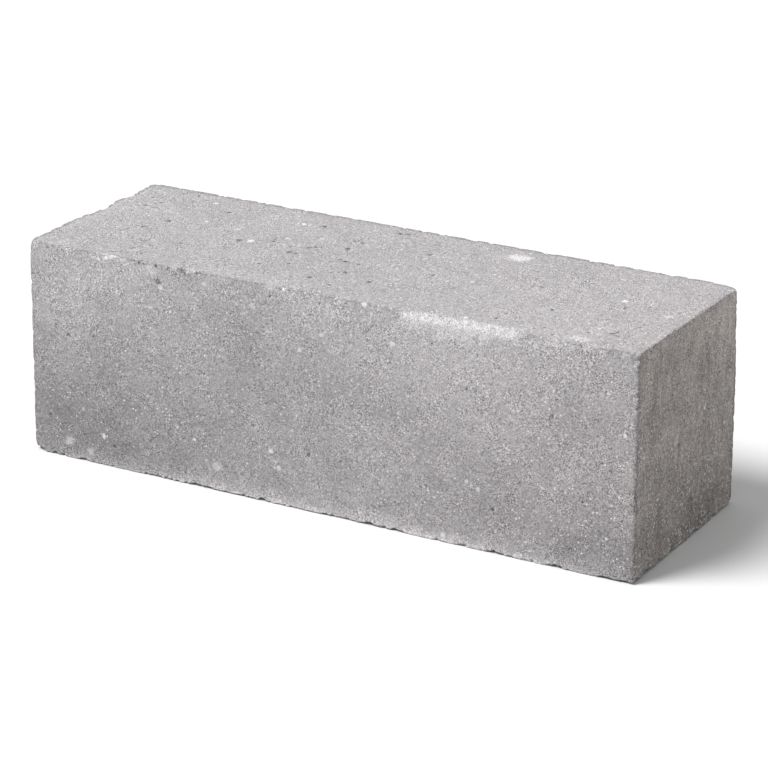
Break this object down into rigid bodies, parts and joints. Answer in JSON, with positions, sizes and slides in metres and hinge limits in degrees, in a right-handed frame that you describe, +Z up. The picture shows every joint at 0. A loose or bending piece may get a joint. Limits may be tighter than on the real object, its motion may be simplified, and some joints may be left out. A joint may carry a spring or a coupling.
{
  "type": "concrete stacking block",
  "caption": "Solid rectangular cast concrete block for dry-stacked garden walls, edgings and steps, with slightly rounded corners and edges.",
  "frame": {"origin": "centre of the base", "axes": "+X along the length towards the crisp end, +Y across the width, +Z up"},
  "size_m": [0.6, 0.2, 0.2],
  "materials": {
    "concrete": "rough cast grey concrete, mottled, with fine sand grain, small pits and pale lime bloom"
  },
  "bodies": {
    "root": {"block": "concrete"}
  },
  "joints": []
}
